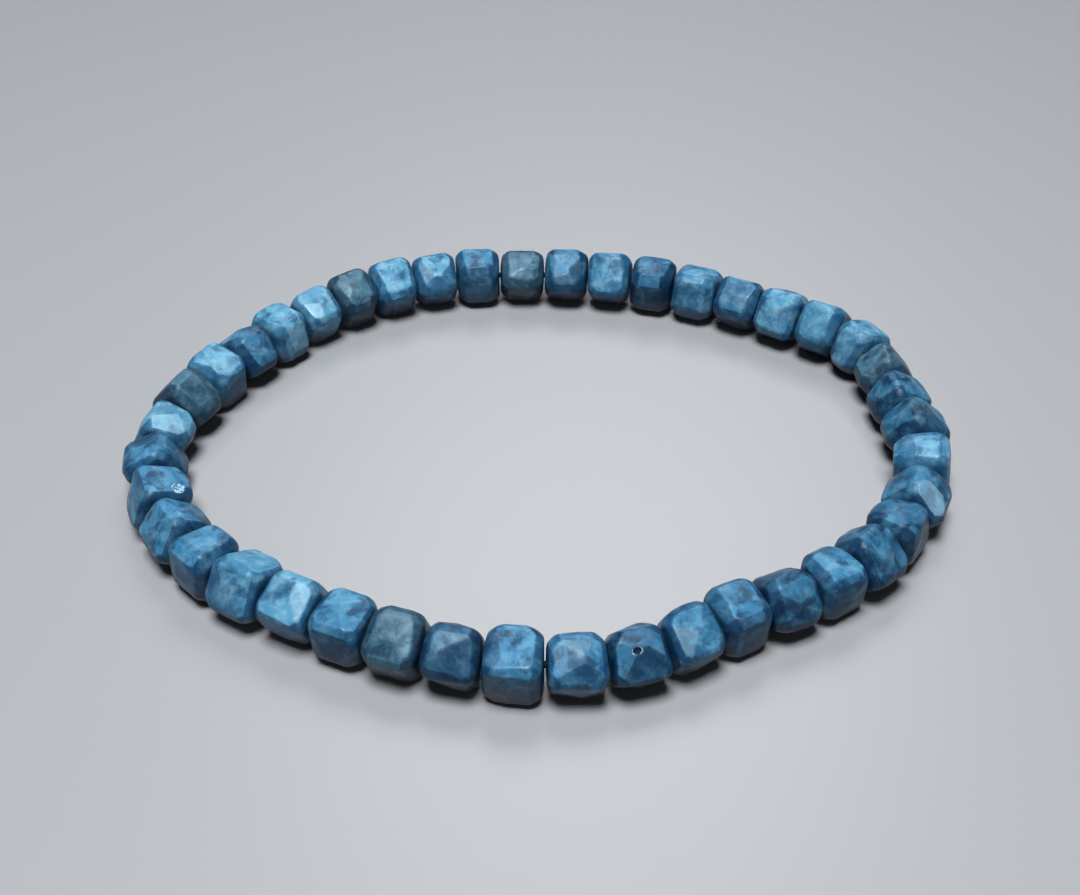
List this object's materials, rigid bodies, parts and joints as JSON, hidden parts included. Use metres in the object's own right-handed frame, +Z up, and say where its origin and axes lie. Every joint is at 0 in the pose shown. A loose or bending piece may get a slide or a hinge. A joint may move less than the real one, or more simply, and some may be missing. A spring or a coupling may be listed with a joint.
{
  "type": "sapphire bead bracelet",
  "caption": "Stretch bracelet of faceted cube sapphire beads threaded in a closed loop on an elastic cord, lying flat.",
  "frame": {"origin": "middle of the bracelet's outline, on the surface that it lies on", "axes": "+Z up, +X along the long way of the oval loop, +Y along its short way, away from the side nearest the viewer"},
  "size_m": [0.0674, 0.0542, 0.0054],
  "materials": {
    "sapphire_pale": "semi-gloss polished facets",
    "sapphire_mid": "semi-gloss polished facets",
    "sapphire_deep": "semi-gloss polished facets",
    "sapphire_grey": "semi-gloss polished facets",
    "elastic": "smooth dark blue-grey elastic, satin"
  },
  "bodies": {
    "root": {"bead_01": "sapphire_grey", "bead_02": "sapphire_pale", "bead_03": "sapphire_pale", "bead_04": "sapphire_mid", "bead_05": "sapphire_grey", "bead_06": "sapphire_mid", "bead_07": "sapphire_pale", "bead_08": "sapphire_deep", "bead_09": "sapphire_pale", "bead_10": "sapphire_mid", "bead_11": "sapphire_pale", "bead_12": "sapphire_pale", "bead_13": "sapphire_pale", "bead_14": "sapphire_grey", "bead_15": "sapphire_deep", "bead_16": "sapphire_deep", "bead_17": "sapphire_pale", "bead_18": "sapphire_mid", "bead_19": "sapphire_deep", "bead_20": "sapphire_deep", "bead_21": "sapphire_mid", "bead_22": "sapphire_deep", "bead_23": "sapphire_mid", "bead_24": "sapphire_mid", "bead_25": "sapphire_deep", "bead_26": "sapphire_mid", "bead_27": "sapphire_mid", "bead_28": "sapphire_deep", "bead_29": "sapphire_grey", "bead_30": "sapphire_mid", "bead_31": "sapphire_pale", "bead_32": "sapphire_pale", "bead_33": "sapphire_mid", "bead_34": "sapphire_mid", "bead_35": "sapphire_mid", "bead_36": "sapphire_mid", "bead_37": "sapphire_pale", "bead_38": "sapphire_grey", "bead_39": "sapphire_pale", "bead_40": "sapphire_mid", "bead_41": "sapphire_pale", "bead_42": "sapphire_pale", "elastic_cord": "elastic"}
  },
  "joints": []
}
